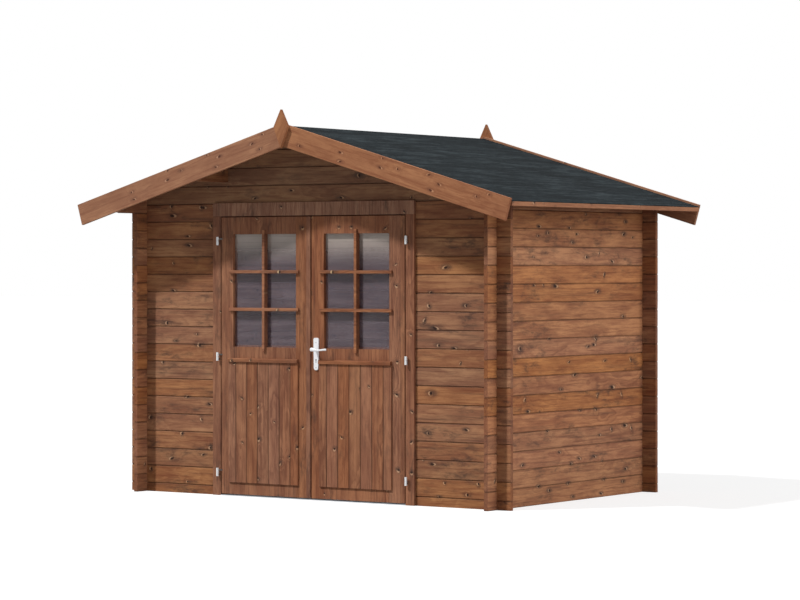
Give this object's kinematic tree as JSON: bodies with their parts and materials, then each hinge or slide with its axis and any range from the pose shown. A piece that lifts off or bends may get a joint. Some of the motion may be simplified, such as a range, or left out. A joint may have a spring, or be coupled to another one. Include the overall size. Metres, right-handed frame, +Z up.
{
  "type": "wooden garden shed",
  "caption": "Log-built garden shed with a low gable roof, finials and half-glazed double doors that open outwards.",
  "frame": {"origin": "on the ground, under the middle of the bounding box", "axes": "+X along the front, to the right as seen from outside; +Y from the front to the back; +Z up"},
  "size_m": [3.36, 2.376, 2.4548],
  "materials": {
    "log_wood": "reddish brown stained pine, matt",
    "board_wood": "reddish brown stained pine, matt",
    "door_wood": "reddish brown stained pine, matt",
    "roof_felt": "grey-black roofing felt, matt",
    "glass": "clear",
    "white_metal": "white, satin",
    "steel": "plain steel",
    "aluminium": "plain"
  },
  "bodies": {
    "shed": {"front_wall_left": "log_wood", "front_wall_right": "log_wood", "rear_wall": "log_wood", "front_gable": "log_wood", "rear_gable": "log_wood", "left_wall": "log_wood", "right_wall": "log_wood", "left_wall_plate": "log_wood", "right_wall_plate": "log_wood", "left_purlin": "log_wood", "ridge_purlin": "log_wood", "right_purlin": "log_wood", "left_roof_boards": "board_wood", "right_roof_boards": "board_wood", "left_eaves_board": "board_wood", "right_eaves_board": "board_wood", "front_bargeboard_left": "board_wood", "front_bargeboard_right": "board_wood", "rear_bargeboard_left": "board_wood", "rear_bargeboard_right": "board_wood", "front_finial": "board_wood", "rear_finial": "board_wood", "left_roof_felt": "roof_felt", "right_roof_felt": "roof_felt", "left_jamb": "door_wood", "right_jamb": "door_wood", "left_door_trim": "door_wood", "right_door_trim": "door_wood", "door_frame_head": "door_wood", "door_header_trim": "door_wood", "door_threshold": "aluminium", "left_hinge_frame_halves": "white_metal", "right_hinge_frame_halves": "white_metal"},
    "left_leaf": {"left_leaf_frame": "door_wood", "left_leaf_strip": "door_wood", "left_leaf_panel": "door_wood", "left_leaf_drip_rail": "door_wood", "left_leaf_glazing_bars": "door_wood", "left_leaf_glass": "glass", "left_hinge_leaf_halves": "white_metal"},
    "right_leaf": {"right_leaf_frame": "door_wood", "right_leaf_strip": "door_wood", "right_leaf_panel": "door_wood", "right_leaf_drip_rail": "door_wood", "right_leaf_glazing_bars": "door_wood", "right_leaf_glass": "glass", "right_hinge_leaf_halves": "white_metal", "outer_handle_plate": "white_metal", "inner_handle_plate": "white_metal"},
    "handle": {"outer_lever": "white_metal", "inner_lever": "white_metal", "handle_spindle": "steel"}
  },
  "joints": [
    {"name": "left_leaf_hinge", "type": "hinge", "parent": "shed", "child": "left_leaf", "pos_m": [-0.737, -0.881, 0.895], "axis": [0, 0, -1], "range_deg": [0, 150]},
    {"name": "right_leaf_hinge", "type": "hinge", "parent": "shed", "child": "right_leaf", "pos_m": [0.737, -0.881, 0.895], "axis": [0, 0, 1], "range_deg": [0, 150]},
    {"name": "handle_turn", "type": "hinge", "parent": "right_leaf", "child": "handle", "pos_m": [0.0435, -0.844, 0.953], "axis": [0, 1, 0], "range_deg": [0, 40], "stiffness_Nm_per_rad": 0.8, "springref_deg": -34.38}
  ]
}
